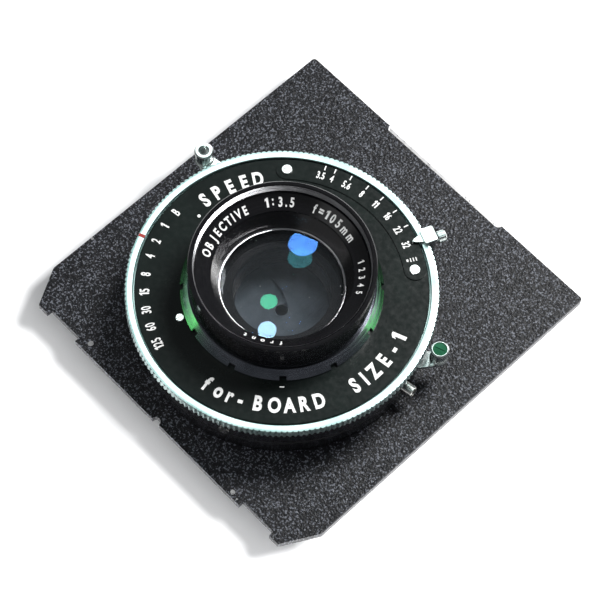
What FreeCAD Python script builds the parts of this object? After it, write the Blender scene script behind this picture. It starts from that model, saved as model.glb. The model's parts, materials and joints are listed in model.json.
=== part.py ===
import FreeCAD, Part
import math
import os

# Large-format camera lens, 105 mm f/3.5, in a number 1 size leaf shutter on a 96 x 99 mm lens board.
# Millimetres. The origin is on the optical axis, in the board's rear seating plane.
# +Z runs out of the front of the lens, +Y runs to the board's latch edge, +X to the right from the front.

V = FreeCAD.Vector
Z_AXIS = V(0, 0, 1)

# ---------------------------------------------------------------- driving dimensions
BOARD_WIDTH = 96.0
BOARD_HEIGHT = 99.0
BOARD_THICK = 2.0
BOARD_OFFSET = 7.8          # the board's middle is this far above the optical axis
BOARD_HOLE_R = 20.85
CORNER_CLIP_X = 5.2         # clipped lower corners
CORNER_CLIP_Y = 9.3
CORNER_R = 0.9
FOOT_NOTCH_FROM = 29.3      # two shallow notches in the lower edge, measured from the middle
FOOT_NOTCH_TO = 39.8
FOOT_NOTCH_DEEP = 1.35
CENTRE_NICK_R = 1.2
LATCH_LONG = 40.0           # rebate for the camera's board latch
LATCH_WIDE = 1.25
LATCH_DEEP = 1.0
TRAP_R = 39.5               # light-trap rib on the back of the board
TRAP_WALL = 1.6
TRAP_HIGH = 2.0

TUBE_R = 19.5               # M39 x 0.75 mounting thread
REAR_BORE_R = 18.0          # M36 x 0.75 rear cell thread
FRONT_BORE_R = 20.0         # M40 x 0.75 front cell thread
LOCK_THREAD_R = 21.5
THREAD_PITCH = 0.75
THREAD_DEEP = 0.28
REAR_TUBE_END = -4.6
COLLAR_R = 20.75

HOUSING_R = 36.4
HOUSING_BORE_R = 33.9
HOUSING_UPPER_BORE_R = 34.9
HOUSING_TOP = 13.6
SPIGOT_R = 35.45
SPIGOT_TOP = 14.9
FLOOR_TOP = 3.4
PLATE_LEDGE = 7.55

FACE_BOTTOM = 15.5
FACE_TOP = 16.75
FACE_R = 35.55
SCALE_TOP = 17.0
SPEED_RING_R = 37.9
SPEED_RING_TOP = 17.1
KNURL_BOTTOM = 14.7
KNURL_TEETH = 180
KNURL_DEEP = 0.5
SPEED_INDEX = 204.4         # the index mark stands at this angle, at the 1/2 s mark
PAD_HALF = 6.3              # half the smooth pad round the index
SPEED_STEP = 8.15           # from one speed to the next
SPEEDS_BELOW = 6            # speeds on one side of the index's mark at rest

LOCK_RING_R = 24.5
LOCK_RING_TOP_R = 22.7
LOCK_RING_TOP = 19.35
LOCK_NOTCHES = 12
LOCK_NOTCH_FIRST = 17.0

BARREL_R = 22.3
BARREL_RIM_R = 22.5
BARREL_TOP = 29.3
BARREL_SEAT = 19.45
FILTER_R = 21.3             # M43 x 0.75 filter thread, a plain bore at its pitch radius
FILTER_DEEP = 2.8
FILTER_CHAMFER = 0.3
NAME_SEAT_R = 20.75

REAR_BARREL_R = 18.6
REAR_END = -12.0

CLEAR_R = 13.6              # full opening through the shutter
IRIS_BLADES = 7
SHUTTER_BLADES = 5
BLADE_THICK = 0.12
BLADE_STEP = 0.17
IRIS_PIVOT_R = 25.0
IRIS_BODY_R = 22.9
IRIS_OPEN_IN = 13.7         # inner edge of an open blade
IRIS_HOLE_R = 1.55          # inscribed radius of the opening at rest, about f/32
IRIS_PIN_REACH = 5.0
IRIS_SPAN = 118.0
IRIS_BASE_TOP = 3.8
IRIS_RING_LOW = 5.1
IRIS_RING_HIGH = 5.6
APERTURE_REST = 67.8        # angle of the pointer at f/32
APERTURE_TRAVEL = 51.1      # from f/32 to f/3.5

SHUTTER_PIVOT_R = 30.0
SHUTTER_BODY_IN = 14.2
SHUTTER_BODY_R = 27.2
SHUTTER_PIN_REACH = 4.0
SHUTTER_SPAN = 96.0
SHUTTER_CLOSE = 29.0        # each blade swings this far to close
DRIVE_TRAVEL = 18.0         # turn of the drive ring that closes the blades
DRIVE_LOW = 6.95
DRIVE_HIGH = 7.45

POST_R = 0.6
PIN_R = 0.45
RUN = 0.04                  # radial clearance of small pivots
SLOT_PLAY = 0.07

LEVER_LOW = 8.6
LEVER_HIGH = 9.6
COCK_PIVOT = (29.0, 155.0)  # radius and angle of each lever's pivot
COCK_KNOB = (43.6, 163.0)
RELEASE_PIVOT = (29.0, 12.0)
RELEASE_KNOB = (40.6, 24.8)
LEVER_POST_R = 1.5
KNOB_TOP = 14.8

GEAR_MODULE = 0.3
LEVER_TEETH = 34
PINION_TEETH = 8
WHEEL_TEETH = 16
STAR_TEETH = 12
MESH_PLAY = 0.06            # extra distance between meshed arbors

SOCKET_ANGLE = 10.0
SOCKET_Z = 8.0
SOCKET_R = 1.5
SOCKET_STEM_R = 1.1
SOCKET_FLOOR = 37.2         # bottom of the socket's plug space
SOCKET_SHOULDER = 36.45     # radius where the socket's sleeve steps out of the housing wall
CABLE_ANGLE = 40.0
CABLE_Z = 5.0
SIDE_SCREW_ANGLE = 294.7
SIDE_SCREW_Z = 9.6


# ---------------------------------------------------------------- small helpers
def polar(radius, angle, z=0.0):
    """Point at a radius and an angle in degrees about the optical axis."""
    return V(radius * math.cos(math.radians(angle)), radius * math.sin(math.radians(angle)), z)


def turned(points):
    """Solid of revolution about the optical axis from a closed outline of (radius, z) points."""
    loop = [V(radius, 0, z) for radius, z in points]
    wire = Part.makePolygon(loop + [loop[0]])
    return Part.Face(wire).revolve(V(0, 0, 0), Z_AXIS, 360)


def rod(radius, low, high, at=V(0, 0, 0)):
    """Upright cylinder between two heights."""
    return Part.makeCylinder(radius, high - low, V(at.x, at.y, low))


def tube(outer, inner, low, high, at=V(0, 0, 0)):
    return rod(outer, low, high, at).cut(rod(inner, low - 1, high + 1, at))


def slab(points, low, high):
    """Prism over a closed outline of points."""
    loop = [V(p.x, p.y, low) for p in points]
    return Part.Face(Part.makePolygon(loop + [loop[0]])).extrude(V(0, 0, high - low))


def bar(start, end, width, low, high):
    """Flat link with round ends between two points."""
    along = V(end.x - start.x, end.y - start.y, 0)
    side = V(-along.y, along.x, 0).normalize() * (width / 2)
    begin = V(start.x, start.y, 0)
    finish = V(end.x, end.y, 0)
    body = slab([begin + side, begin - side, finish - side, finish + side], low, high)
    return fused([body, rod(width / 2, low, high, begin), rod(width / 2, low, high, finish)])


def taper(start, end, start_r, end_r, low, high):
    """Flat link whose round ends differ, joined by straight sides."""
    along = V(end.x - start.x, end.y - start.y, 0)
    side = V(-along.y, along.x, 0).normalize()
    begin = V(start.x, start.y, 0)
    finish = V(end.x, end.y, 0)
    corners = [begin + side * start_r, begin - side * start_r, finish - side * end_r, finish + side * end_r]
    return fused([slab(corners, low, high), rod(start_r, low, high, begin), rod(end_r, low, high, finish)])


def wedge(first, last, low, high, reach=60.0):
    """Pie slice about the optical axis, under half a turn."""
    middle = (first + last) / 2
    far = reach / math.cos(math.radians(last - first) / 2)
    return slab([V(0, 0, 0), polar(reach, first), polar(far, middle), polar(reach, last)], low, high)


def arc_slot(radius, width, first, last, low, high):
    """Slot that follows an arc about the optical axis, with round ends."""
    band = tube(radius + width / 2, radius - width / 2, low, high).common(wedge(first, last, low, high))
    ends = [rod(width / 2, low, high, polar(radius, angle)) for angle in (first, last)]
    return fused([band] + ends)


def radial_rod(radius, inner, outer, angle, z):
    """Cylinder whose axis points straight out from the optical axis."""
    return Part.makeCylinder(radius, outer - inner, polar(inner, angle, z), polar(1, angle))


def fused(solids):
    result = solids[0]
    for solid in solids[1:]:
        result = result.fuse(solid)
    return result.removeSplitter()


def spun(shape, angle, centre=V(0, 0, 0)):
    """Copy turned about an upright axis through a point."""
    copy = shape.copy()
    copy.rotate(centre, Z_AXIS, angle)
    return copy


def thread_points(radius, start, end, deep):
    """Zigzag outline of an outside thread between two heights, cut in by deep."""
    turns = int(abs(end - start) / THREAD_PITCH)
    step = (end - start) / turns
    points = []
    for turn in range(turns):
        points.append((radius, start + step * turn))
        points.append((radius - deep, start + step * (turn + 0.5)))
    points.append((radius, end))
    return points


def gear(teeth, low, high, centre, tooth_at, bore):
    """Small flat gear with straight-sided teeth, one of them pointing at an angle."""
    pitch_r = GEAR_MODULE * teeth / 2
    tip_r = pitch_r + 0.16
    root_r = pitch_r - 0.34
    step = 360.0 / teeth
    outline = []
    for tooth in range(teeth):
        middle = tooth_at + tooth * step
        for radius, share in ((root_r, -0.24), (tip_r, -0.08), (tip_r, 0.08), (root_r, 0.24)):
            outline.append(centre + polar(radius, middle + share * step))
    body = slab(outline, low, high)
    return body.cut(rod(bore, low - 1, high + 1, centre))


def hairpin(radius, wire_r, height, centre, mouth, leg_long):
    """Round-wire hairpin spring: half a turn about a centre, and two straight legs towards its mouth."""
    bend = Part.makeTorus(radius, wire_r, V(0, 0, 0), Z_AXIS, -180, 180, 180)
    bend.rotate(V(0, 0, 0), Z_AXIS, mouth + 90)
    bend.translate(V(centre.x, centre.y, height))
    legs = []
    short_leg = leg_long * 0.7
    for side, length in ((90, leg_long), (-90, short_leg)):
        foot = centre + polar(radius, mouth + side, height)
        legs.append(Part.makeCylinder(wire_r, length, foot, polar(1, mouth)))
    return fused([bend] + legs)


def export(node, shape):
    shape.exportStep("parts/" + node + ".step")
    print(node, len(shape.Solids), round(shape.Volume, 2), shape.isValid())


# ---------------------------------------------------------------- board and its nut
def lens_board():
    right = BOARD_WIDTH / 2
    top = BOARD_OFFSET + BOARD_HEIGHT / 2
    bottom = BOARD_OFFSET - BOARD_HEIGHT / 2
    half = [V(right - CORNER_CLIP_X, bottom, 0), V(right, bottom + CORNER_CLIP_Y, 0), V(right, top, 0)]
    mirrored = [V(-p.x, p.y, 0) for p in reversed(half)]
    plate = slab(half + mirrored, 0, BOARD_THICK)
    upper = [edge for edge in plate.Edges
             if edge.BoundBox.ZLength > 1.9 and edge.BoundBox.YMin > top - 0.1]
    plate = plate.makeFillet(CORNER_R, upper)
    for side in (-1, 1):
        low = min(side * FOOT_NOTCH_FROM, side * FOOT_NOTCH_TO)
        size = FOOT_NOTCH_TO - FOOT_NOTCH_FROM
        plate = plate.cut(Part.makeBox(size, FOOT_NOTCH_DEEP, 4, V(low, bottom, -1)))
    plate = plate.cut(rod(CENTRE_NICK_R, -1, 4, V(0, bottom, 0)))
    start = V(LATCH_WIDE - LATCH_LONG / 2, top, 0)
    end = V(LATCH_LONG / 2 - LATCH_WIDE, top, 0)
    rebate = bar(start, end, LATCH_WIDE * 2, BOARD_THICK - LATCH_DEEP, 4)
    plate = plate.cut(rebate)
    plate = plate.fuse(tube(TRAP_R, TRAP_R - TRAP_WALL, -TRAP_HIGH, 0))
    return plate.cut(rod(BOARD_HOLE_R, -5, 5)).removeSplitter()


def mounting_ring():
    bore = TUBE_R + 0.05
    ring = turned([(bore, -0.01), (24.0, -0.01), (24.0, -2.0), (23.4, -2.6), (bore, -2.6)])
    for angle in (0, 180):
        slot = spun(Part.makeBox(6, 2.4, 1.5, V(20.5, -1.2, -3.2)), angle)
        ring = ring.cut(slot)
    return ring


# ---------------------------------------------------------------- shutter housing and plates
def shutter_housing():
    outline = [(REAR_BORE_R, FLOOR_TOP), (REAR_BORE_R, REAR_TUBE_END)]
    outline += thread_points(TUBE_R, REAR_TUBE_END, -2.6, THREAD_DEEP)
    outline += [(TUBE_R, 0.4), (COLLAR_R, 0.4), (COLLAR_R, BOARD_THICK), (HOUSING_R - 0.5, BOARD_THICK),
                (HOUSING_R, BOARD_THICK + 0.5), (HOUSING_R, 6.9), (HOUSING_R - 0.25, 7.15),
                (HOUSING_R - 0.25, 7.45), (HOUSING_R, 7.7), (HOUSING_R, HOUSING_TOP - 0.3),
                (HOUSING_R - 0.3, HOUSING_TOP), (SPIGOT_R, HOUSING_TOP), (SPIGOT_R, SPIGOT_TOP),
                (HOUSING_UPPER_BORE_R, SPIGOT_TOP), (HOUSING_UPPER_BORE_R, PLATE_LEDGE),
                (HOUSING_BORE_R, PLATE_LEDGE), (HOUSING_BORE_R, FLOOR_TOP)]
    body = turned(outline)
    wall = tube(40, 32, LEVER_LOW - 0.2, LEVER_HIGH + 0.2)
    body = body.cut(wall.common(wedge(139.5, 170.5, 0, 20)))
    body = body.cut(wall.common(wedge(13.0, 28.5, 0, 20)))
    aperture_gate = tube(40, 32, IRIS_RING_LOW - 0.2, IRIS_RING_HIGH + 0.2)
    gate_first = APERTURE_REST - 3.4
    gate_last = APERTURE_REST + APERTURE_TRAVEL + 3.4
    body = body.cut(aperture_gate.common(wedge(gate_first, gate_last, 0, 20)))
    body = body.cut(radial_rod(SOCKET_STEM_R, 30, 40, SOCKET_ANGLE, SOCKET_Z))
    body = body.cut(radial_rod(2.5, 32, 40, CABLE_ANGLE, CABLE_Z))
    return body.cut(radial_rod(0.6, 33, 40, SIDE_SCREW_ANGLE, SIDE_SCREW_Z))


def iris_post_plate():
    plate = tube(HOUSING_BORE_R - 0.05, CLEAR_R, FLOOR_TOP, IRIS_BASE_TOP)
    posts = [rod(POST_R, 3.5, 5.0, polar(IRIS_PIVOT_R, 360.0 / IRIS_BLADES * k))
             for k in range(IRIS_BLADES)]
    pillars = [rod(1.0, 3.5, 5.7, polar(32.0, angle)) for angle in (10, 170, 270)]
    return fused([plate] + posts + pillars)


def shutter_post_plate():
    plate = tube(HOUSING_BORE_R - 0.05, CLEAR_R, 5.7, 6.0)
    rim = tube(23.35, 22.9, IRIS_RING_LOW, 5.8)
    posts = [rod(POST_R, 5.8, 6.9, polar(SHUTTER_PIVOT_R, 360.0 / SHUTTER_BLADES * k))
             for k in range(SHUTTER_BLADES)]
    return fused([plate, rim] + posts)


def mechanism_plate():
    """Plate that carries the works, with the threaded front tube and the lever and gear posts."""
    outline = [(16.2, PLATE_LEDGE), (27.55, PLATE_LEDGE), (27.55, DRIVE_LOW), (28.15, DRIVE_LOW),
               (28.15, PLATE_LEDGE), (34.85, PLATE_LEDGE), (34.85, 8.35), (23.0, 8.35), (23.0, FACE_BOTTOM)]
    outline += [(LOCK_THREAD_R, FACE_BOTTOM), (LOCK_THREAD_R, 19.4), (FRONT_BORE_R, 19.4),
                (FRONT_BORE_R, 8.7), (16.2, 8.7)]
    body = turned(outline)
    body = body.cut(arc_slot(31.0, 1.8, 196, 222, 7, 9))
    posts = [rod(LEVER_POST_R, 8.0, 13.6, polar(*COCK_PIVOT)),
             rod(LEVER_POST_R, 8.0, 11.8, polar(*RELEASE_PIVOT)),
             rod(0.5, 8.0, 12.1, wheel_centre()), rod(0.5, 8.0, 12.1, star_centre()),
             rod(0.5, 8.0, 12.1, pallet_centre())]
    posts += [tube(1.2, 0.5, 8.0, 11.4, at) for at in bridge_feet()]
    body = fused([body] + posts)
    for at in bridge_feet():
        body = body.cut(rod(0.5, 8.3, 13, at))
    for angle in (60, 180, 300):
        body = body.cut(rod(0.7, 7, 9, polar(33.4, angle)))
    return body


def plate_screws():
    """Three screws that hold the mechanism plate on the housing's ledge."""
    return [rod(1.1, 8.35, 9.0, polar(33.4, angle)).fuse(rod(0.7, 7.56, 8.35, polar(33.4, angle)))
            for angle in (60, 180, 300)]


# ---------------------------------------------------------------- blades and their rings
def blade(pivot_r, body_in, body_out, span, reach, low, pin_top):
    """Crescent blade drawn fully open, its pivot on +X and its body curving away anticlockwise."""
    high = low + BLADE_THICK
    band = tube(body_out, body_in, low, high).common(wedge(0, span, low, high))
    middle = (body_in + body_out) / 2
    width = body_out - body_in
    tip = rod(width / 2, low, high, polar(middle, span))
    pivot = V(pivot_r, 0, 0)
    pin = pin_place(pivot_r, reach, 0)
    ear = bar(pivot, polar(middle, 14), 3.0, low, high)
    arm = bar(pivot, pin, 2.2, low, high)
    whole = fused([band, tip, ear, arm, rod(PIN_R, low, pin_top, pin)])
    return whole.cut(rod(POST_R + RUN, low - 1, high + 1, pivot))


def pin_place(pivot_r, reach, swing):
    """Where a blade's drive pin stands after the blade has swung about its pivot."""
    lead = math.degrees(math.asin(0.24))
    return V(pivot_r, 0, 0) + polar(reach, 90 - lead + swing)


def closing_swing(pivot_r, body_in, opening):
    """Swing that brings a blade's inner edge to the given radius of opening."""
    return 2 * math.degrees(math.asin((body_in - opening) / (2 * pivot_r)))


def cam_slot(pivot_r, reach, swing_at, ring_travel, low, high):
    """Slot in a drive ring that keeps a blade's pin at swing_at(share) as the ring turns by a share."""
    steps = 16
    centres = []
    for step in range(steps + 1):
        share = step / steps
        pin = pin_place(pivot_r, reach, swing_at(share))
        ring_turn = FreeCAD.Rotation(Z_AXIS, -ring_travel * share)
        centres.append(ring_turn.multVec(pin))
    half = PIN_R + SLOT_PLAY
    left, right = [], []
    for index, centre in enumerate(centres):
        before = centres[max(index - 1, 0)]
        after = centres[min(index + 1, steps)]
        side = V(before.y - after.y, after.x - before.x, 0).normalize() * half
        left.append(centre + side + V(0, 0, low))
        right.append(centre - side + V(0, 0, low))
    ends = [rod(half, low, high, centre) for centre in (centres[0], centres[-1])]
    curves = []
    for points in (left, right):
        curve = Part.BSplineCurve()
        curve.interpolate(points)
        curves.append(curve.toShape())
    caps = [Part.makeLine(left[0], right[0]), Part.makeLine(left[-1], right[-1])]
    outline = Part.Wire(Part.__sortEdges__(curves + caps))
    return fused([Part.Face(outline).extrude(V(0, 0, high - low))] + ends)


def iris_swing():
    return closing_swing(IRIS_PIVOT_R, IRIS_OPEN_IN, IRIS_HOLE_R)


def iris_blade(index):
    low = IRIS_BASE_TOP + 0.05 + BLADE_STEP * index
    shape = blade(IRIS_PIVOT_R, IRIS_OPEN_IN, IRIS_BODY_R, IRIS_SPAN, IRIS_PIN_REACH, low, 5.5)
    shape = spun(shape, iris_swing(), V(IRIS_PIVOT_R, 0, 0))
    return spun(shape, 360.0 / IRIS_BLADES * index)


def iris_ring():
    ring = tube(28.6, 23.4, IRIS_RING_LOW, IRIS_RING_HIGH)
    slot = cam_slot(IRIS_PIVOT_R, IRIS_PIN_REACH, lambda share: iris_swing() * (1 - share),
                    APERTURE_TRAVEL, IRIS_RING_LOW - 1, IRIS_RING_HIGH + 1)
    for index in range(IRIS_BLADES):
        ring = ring.cut(spun(slot, 360.0 / IRIS_BLADES * index))
    arm = bar(polar(27.8, APERTURE_REST), polar(37.6, APERTURE_REST), 2.6, IRIS_RING_LOW, IRIS_RING_HIGH)
    return fused([ring, arm])


def shutter_blade(index):
    low = 6.05 + BLADE_STEP * index
    shape = blade(SHUTTER_PIVOT_R, SHUTTER_BODY_IN, SHUTTER_BODY_R, SHUTTER_SPAN,
                  SHUTTER_PIN_REACH, low, 7.35)
    return spun(shape, 360.0 / SHUTTER_BLADES * index)


def blade_drive_ring():
    ring = tube(33.4, 28.2, DRIVE_LOW, DRIVE_HIGH)
    slot = cam_slot(SHUTTER_PIVOT_R, SHUTTER_PIN_REACH, lambda share: SHUTTER_CLOSE * share,
                    DRIVE_TRAVEL, DRIVE_LOW - 1, DRIVE_HIGH + 1)
    for index in range(SHUTTER_BLADES):
        ring = ring.cut(spun(slot, 360.0 / SHUTTER_BLADES * index))
    return fused([ring, rod(0.7, DRIVE_LOW, 9.8, polar(31.0, 200.0))])


# ---------------------------------------------------------------- aperture pointer
def aperture_lever():
    """Leg that rises outside the speed ring and hooks over it to a pointer on the scale."""
    leg = Part.makeBox(1.1, 3.0, 12.9, V(38.35, -1.5, IRIS_RING_HIGH))
    foot = Part.makeBox(2.8, 3.0, 0.7, V(36.65, -1.5, IRIS_RING_HIGH))
    hood = Part.makeBox(3.3, 4.0, 1.3, V(36.5, -2.0, SPEED_RING_TOP + 0.15))
    hood = hood.makeFillet(0.5, [edge for edge in hood.Edges if edge.BoundBox.ZLength > 1.2])
    nose = slab([V(37.0, -1.3, 0), V(37.0, 1.3, 0), V(34.6, 0.5, 0), V(33.9, 0, 0), V(34.6, -0.5, 0)],
                SPEED_RING_TOP + 0.15, SPEED_RING_TOP + 0.75)
    neck = Part.makeCylinder(0.9, 1.2, V(39.3, 0, 15.0), V(1, 0, 0))
    rivet = rod(0.6, IRIS_RING_LOW, IRIS_RING_HIGH + 0.3, V(37.4, 0, 0))
    lever = fused([leg, foot, hood, nose, neck])
    corner = Part.makeBox(2.0, 4.0, 2.0, V(36.3, -2.0, 16.0))
    lever = lever.cut(corner.common(rod(38.0, 15, SPEED_RING_TOP + 0.15)))
    return spun(lever, APERTURE_REST), spun(rivet, APERTURE_REST)


def aperture_knob():
    """Turned end knob with fine flutes, its axis pointing outwards."""
    knob = Part.makeCylinder(1.5, 2.3, V(0, 0, 0), Z_AXIS)
    knob = knob.makeChamfer(0.25, [edge for edge in knob.Edges if edge.Closed])
    for flute in range(14):
        knob = knob.cut(rod(0.16, 0.35, 1.95, polar(1.55, flute * 360.0 / 14)))
    knob.rotate(V(0, 0, 0), V(0, 1, 0), 90)
    knob.translate(V(40.5, 0, 15.0))
    return spun(knob, APERTURE_REST)


# ---------------------------------------------------------------- levers and works
def wheel_centre():
    distance = GEAR_MODULE * (LEVER_TEETH + PINION_TEETH) / 2 + MESH_PLAY
    turn = 2 * math.degrees(math.asin(distance / (2 * COCK_PIVOT[0])))
    return polar(COCK_PIVOT[0], COCK_PIVOT[1] + turn)


def star_centre():
    distance = GEAR_MODULE * (WHEEL_TEETH + PINION_TEETH) / 2 + MESH_PLAY
    base = wheel_centre()
    angle = math.degrees(math.atan2(base.y, base.x))
    turn = 2 * math.degrees(math.asin(distance / (2 * COCK_PIVOT[0])))
    return polar(COCK_PIVOT[0], angle + turn)


def pallet_centre():
    base = star_centre()
    angle = math.degrees(math.atan2(base.y, base.x))
    turn = 2 * math.degrees(math.asin(4.2 / (2 * COCK_PIVOT[0])))
    return polar(COCK_PIVOT[0], angle + turn)


def bridge_feet():
    wheel = wheel_centre()
    angle = math.degrees(math.atan2(wheel.y, wheel.x)) % 360
    return [polar(24.6, angle + 6), polar(33.2, angle + 26)]


def heading(start, end):
    return math.degrees(math.atan2(end.y - start.y, end.x - start.x))


def cocking_lever():
    """Lever with a geared hub that winds the mainspring."""
    pivot = polar(*COCK_PIVOT)
    knob = polar(*COCK_KNOB)
    hub = gear(LEVER_TEETH, LEVER_LOW, LEVER_HIGH, pivot,
               heading(pivot, wheel_centre()), LEVER_POST_R + RUN)
    arm = taper(pivot, knob, 5.0, 2.2, LEVER_LOW, LEVER_HIGH)
    boss = rod(2.1, LEVER_HIGH - 0.2, LEVER_HIGH + 0.6, pivot)
    rivet = rod(1.1, LEVER_HIGH, LEVER_HIGH + 1.2, knob)
    lever = fused([hub, arm, boss, rivet])
    return lever.cut(rod(LEVER_POST_R + RUN, LEVER_LOW - 1, LEVER_HIGH + 2, pivot))


def ribbed_knob(radius, top, centre, hole_r, hole_floor, ribs):
    """Upright knob with flutes round its waist and a chamfered top."""
    low = LEVER_HIGH
    waist = radius - 0.3
    outline = [(0, low), (radius, low), (radius, low + 0.5), (waist, low + 0.7), (waist, top - 1.1),
               (radius, top - 0.9), (radius, top - 0.35), (radius - 0.35, top), (0, top)]
    knob = turned(outline)
    for rib in range(ribs):
        knob = knob.cut(rod(0.17, low + 0.7, top - 1.1, polar(radius - 0.25, rib * 360.0 / ribs)))
    knob = knob.cut(rod(hole_r, hole_floor, top + 1))
    knob.translate(centre)
    return knob


def cocking_knob():
    centre = polar(*COCK_KNOB)
    knob = ribbed_knob(2.4, KNOB_TOP, centre, 1.4, KNOB_TOP - 2.6, 20)
    return knob.cut(rod(1.1, LEVER_HIGH - 1, LEVER_HIGH + 1.2, centre))


def release_lever():
    """Lever whose tail trips the works when its knob is pressed."""
    pivot = polar(*RELEASE_PIVOT)
    knob = polar(*RELEASE_KNOB)
    arm = taper(pivot, knob, 2.4, 1.9, LEVER_LOW, LEVER_HIGH)
    tail = bar(pivot, pivot + polar(5.2, heading(knob, pivot) + 50), 1.8, LEVER_LOW, LEVER_HIGH)
    rivet = rod(1.0, LEVER_HIGH, LEVER_HIGH + 1.2, knob)
    lever = fused([arm, tail, rivet])
    return lever.cut(rod(LEVER_POST_R + RUN, LEVER_LOW - 1, LEVER_HIGH + 2, pivot))


def release_knob():
    centre = polar(*RELEASE_KNOB)
    knob = ribbed_knob(2.25, KNOB_TOP, centre, 1.8, KNOB_TOP - 0.8, 20)
    return knob.cut(rod(1.0, LEVER_HIGH - 1, LEVER_HIGH + 1.2, centre))


def release_cap():
    """Slotted coloured disc let into the release knob."""
    centre = polar(*RELEASE_KNOB)
    cap = rod(1.8, KNOB_TOP - 0.8, KNOB_TOP - 0.25, centre)
    slot = bar(centre - polar(1.2, 20), centre + polar(1.2, 20), 0.3, KNOB_TOP - 0.4, KNOB_TOP)
    return cap.cut(slot)


def retard_wheel():
    """Pinion driven by the lever's hub, with the wheel above it."""
    centre = wheel_centre()
    lever = polar(*COCK_PIVOT)
    pinion = gear(PINION_TEETH, LEVER_LOW, LEVER_HIGH, centre,
                  heading(centre, lever) + 180.0 / PINION_TEETH, 0.5 + RUN)
    wheel = gear(WHEEL_TEETH, LEVER_HIGH + 0.2, LEVER_HIGH + 0.8, centre,
                 heading(centre, star_centre()), 0.5 + RUN)
    neck = tube(0.75, 0.5 + RUN, LEVER_HIGH, LEVER_HIGH + 0.2, centre)
    return fused([pinion, neck, wheel])


def star_wheel():
    """Pinion driven by the wheel, with the escape wheel above it."""
    centre = star_centre()
    pinion = gear(PINION_TEETH, LEVER_HIGH + 0.2, LEVER_HIGH + 0.8, centre,
                  heading(centre, wheel_centre()) + 180.0 / PINION_TEETH, 0.5 + RUN)
    outline = []
    for tooth in range(STAR_TEETH):
        start = tooth * 360.0 / STAR_TEETH
        outline.append(centre + polar(1.5, start))
        outline.append(centre + polar(2.3, start + 15))
    star = slab(outline, LEVER_HIGH + 1.0, LEVER_HIGH + 1.5).cut(rod(0.5 + RUN, 8, 14, centre))
    neck = tube(0.75, 0.5 + RUN, LEVER_HIGH + 0.8, LEVER_HIGH + 1.0, centre)
    return fused([pinion, neck, star])


def pallet():
    """Rocking anchor beside the escape wheel."""
    centre = pallet_centre()
    towards = heading(centre, star_centre())
    low, high = LEVER_HIGH + 1.0, LEVER_HIGH + 1.5
    arms = [bar(centre, centre + polar(2.6, towards + side * 62), 0.8, low, high) for side in (-1, 1)]
    weight = rod(1.6, low, high, centre)
    return fused(arms + [weight]).cut(rod(0.5 + RUN, low - 1, high + 1, centre))


def retard_bridge():
    """Upper plate of the slow-speed train."""
    low, high = 11.4, 12.0
    feet = bridge_feet()
    posts = [wheel_centre(), star_centre(), pallet_centre()]
    parts = [bar(posts[0], posts[1], 3.2, low, high), bar(posts[1], posts[2], 3.2, low, high),
             bar(feet[0], posts[0], 2.4, low, high), bar(feet[1], posts[2], 2.4, low, high)]
    body = fused(parts)
    for at in posts:
        body = body.cut(rod(0.52, low - 1, high + 1, at))
    for at in feet:
        body = body.cut(rod(0.52, low - 1, high + 1, at))
    return body


def bridge_screws():
    return [rod(1.0, 12.0, 12.6, at).fuse(rod(0.5, 8.4, 12.0, at)) for at in bridge_feet()]


def mainspring():
    return hairpin(2.15, 0.22, LEVER_HIGH + 1.15, polar(*COCK_PIVOT), COCK_PIVOT[1] - 90, 5.0)


def release_spring():
    return hairpin(1.85, 0.18, LEVER_HIGH + 0.5, polar(*RELEASE_PIVOT), RELEASE_PIVOT[1] + 90, 4.0)


def click_spring():
    """Leaf that presses a rounded nose up into the speed ring's detents."""
    first, last = 232.0, 262.0
    leaf = tube(33.4, 31.6, 13.4, 13.7).common(wedge(first, last, 0, 20))
    nose = rod(0.7, 13.4, 14.9, polar(32.5, 247.0))
    foot = tube(33.4, 31.6, 8.36, 13.7).common(wedge(first, first + 3, 0, 20))
    return fused([leaf, nose, foot])


# ---------------------------------------------------------------- speed ring, faceplate and its fittings
def speed_ring():
    """Knurled ring with an inner web whose cam slots set the works for each speed."""
    outline = [(27.0, 15.0), (SPIGOT_R + 0.06, 15.0), (SPIGOT_R + 0.06, 13.8), (37.1, 13.8), (37.3, 14.0),
               (37.3, KNURL_BOTTOM), (SPEED_RING_R, KNURL_BOTTOM), (SPEED_RING_R, 16.8), (37.65, 17.02),
               (37.2, SPEED_RING_TOP), (36.0, 17.0), (35.8, 16.8), (35.8, 15.4), (27.0, 15.4)]
    ring = turned(outline)
    step = 360.0 / KNURL_TEETH
    teeth = []
    for tooth in range(KNURL_TEETH):
        angle = SPEED_INDEX + (tooth + 0.5) * step
        away = abs((angle - SPEED_INDEX + 180) % 360 - 180)
        if away < PAD_HALF:
            teeth.append(polar(SPEED_RING_R - 0.3, angle))
        else:
            teeth.append(polar(SPEED_RING_R, angle - 0.12 * step))
            teeth.append(polar(SPEED_RING_R, angle + 0.12 * step))
            teeth.append(polar(SPEED_RING_R - KNURL_DEEP, angle + 0.5 * step))
    ring = ring.common(slab(teeth, 10, 20))
    for first, last, radius in ((60, 120, 29.6), (150, 200, 31.0), (285, 345, 30.2)):
        ring = ring.cut(arc_slot(radius, 1.6, first, last, 14, 16))
    for detent in range(9):
        at = polar(32.5, 247.0 - SPEEDS_BELOW * SPEED_STEP + detent * SPEED_STEP)
        ring = ring.cut(Part.makeSphere(0.55, V(at.x, at.y, 14.85)))
    return ring


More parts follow.
